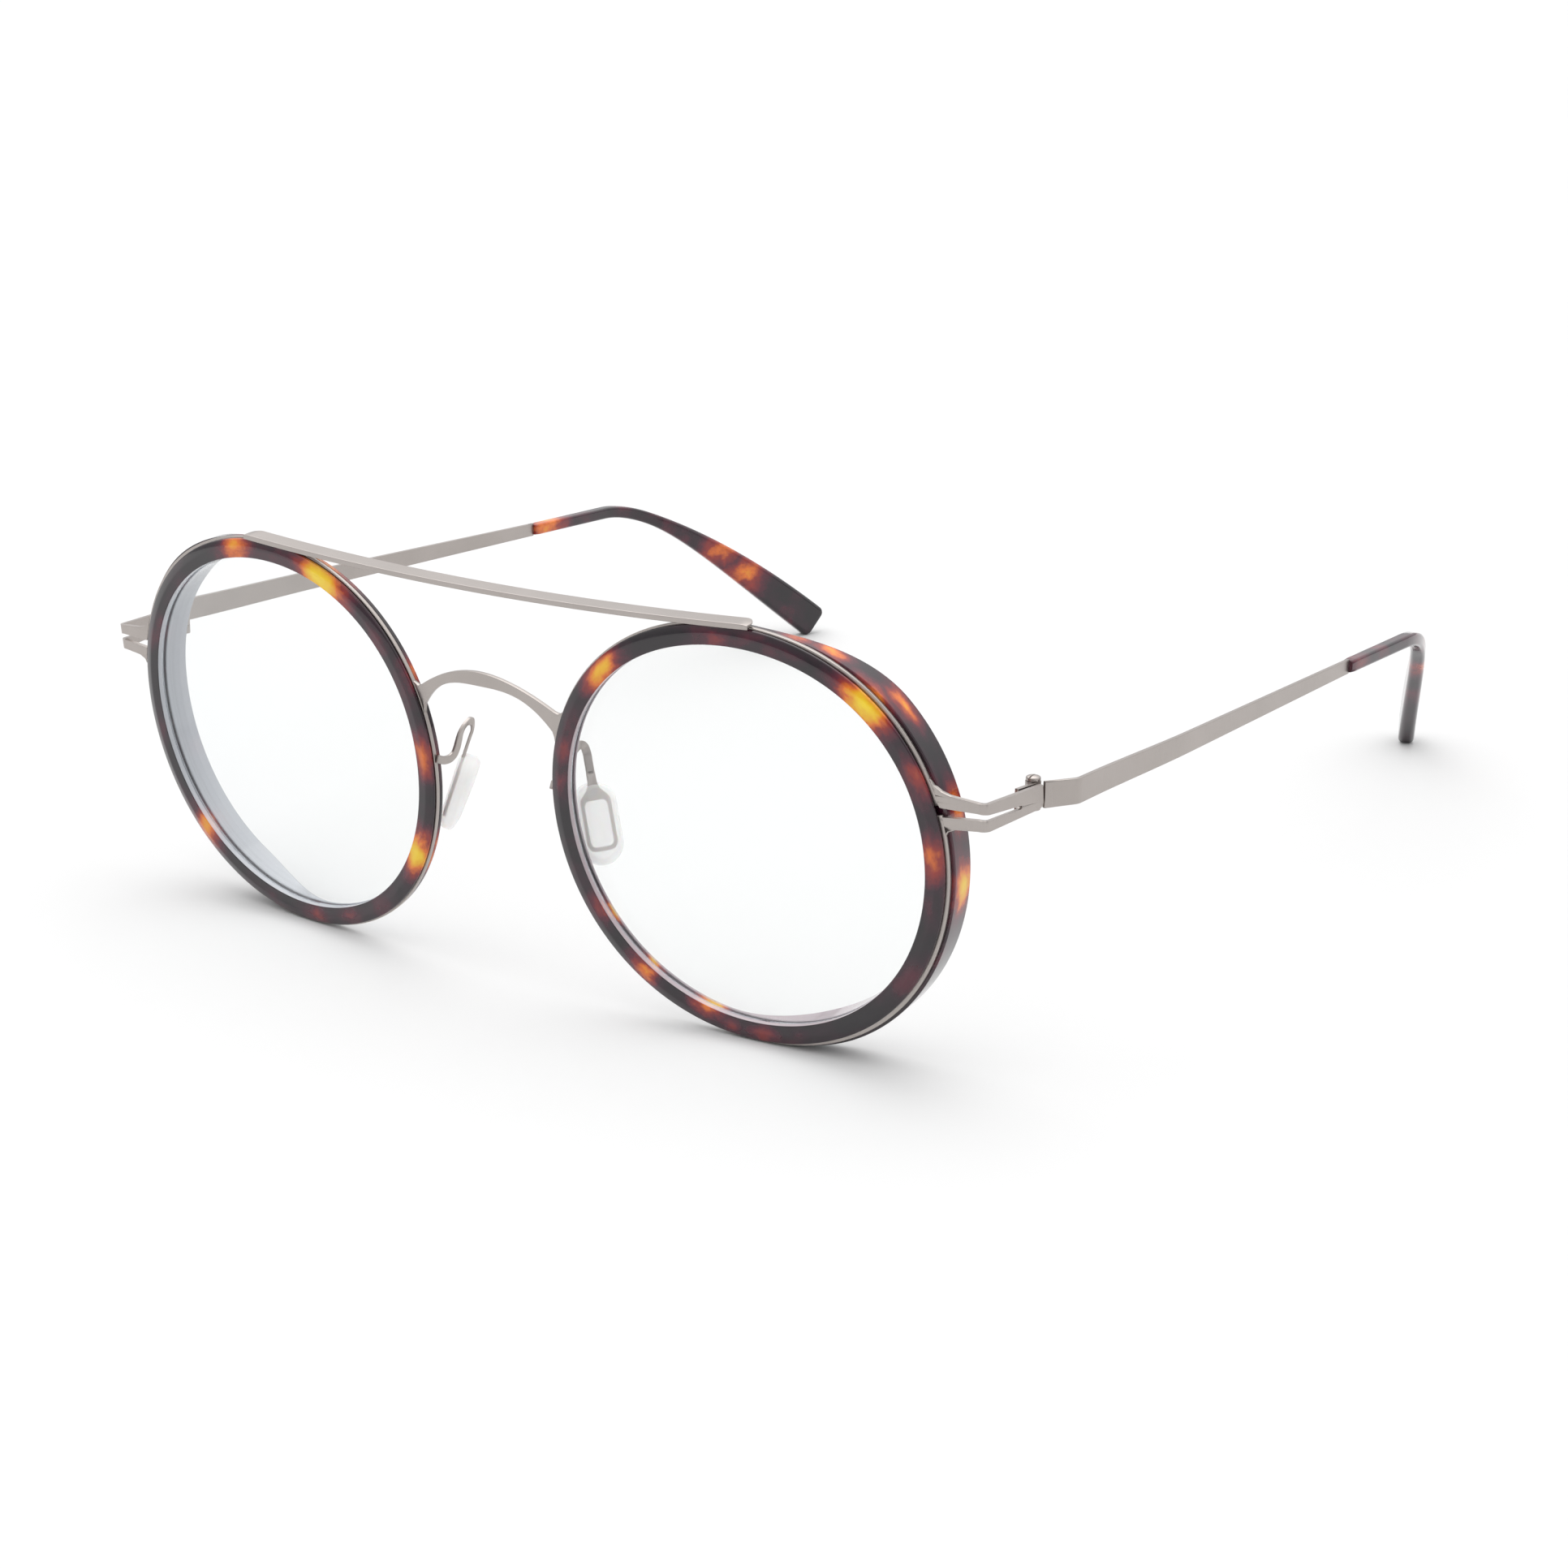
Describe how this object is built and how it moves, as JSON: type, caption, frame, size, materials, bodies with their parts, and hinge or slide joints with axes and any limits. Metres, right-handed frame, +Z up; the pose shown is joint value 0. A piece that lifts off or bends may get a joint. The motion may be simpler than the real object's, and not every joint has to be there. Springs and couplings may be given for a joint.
{
  "type": "half rim eyeglasses",
  "caption": "Round eyeglasses with dark acetate rims in a sheet-steel frame, a double bridge, folded pad arms, clear lenses and temples that fold on slotted screws.",
  "frame": {"origin": "centre of the footprint on the table, under the middle of the open eyeglasses", "axes": "+Z up from the table, -Y out of the front of the lenses, +Y back along the open temples, +X to the wearer's left"},
  "size_m": [0.1394, 0.1454, 0.0517],
  "materials": {
    "steel": "satin warm grey sheet",
    "acetate": "polished dark tortoiseshell",
    "silicone": "soft translucent",
    "lens": "clear demo lens"
  },
  "bodies": {
    "front": {"acetate_rim_left": "acetate", "acetate_rim_right": "acetate", "rim_band_left": "steel", "rim_band_right": "steel", "lens_left": "lens", "lens_right": "lens", "end_piece_left": "steel", "end_piece_right": "steel", "front_hinge_left": "steel", "front_hinge_right": "steel", "hinge_screw_left": "steel", "hinge_screw_right": "steel", "pad_arm_left": "steel", "pad_arm_right": "steel", "nose_pad_left": "silicone", "nose_pad_right": "silicone", "nose_bridge": "steel", "brow_bar": "steel"},
    "temple_left_body": {"temple_left": "steel", "temple_tip_left": "acetate", "temple_hinge_left": "steel"},
    "temple_right_body": {"temple_right": "steel", "temple_tip_right": "acetate", "temple_hinge_right": "steel"}
  },
  "joints": [
    {"name": "temple_left_fold", "type": "hinge", "parent": "front", "child": "temple_left_body", "pos_m": [0.06585, -0.05656, 0.03263], "axis": [0, 0.0695, 0.9976], "range_deg": [0, 85.5]},
    {"name": "temple_right_fold", "type": "hinge", "parent": "front", "child": "temple_right_body", "pos_m": [-0.06585, -0.05656, 0.03263], "axis": [0, -0.0695, -0.9976], "range_deg": [0, 76]}
  ]
}
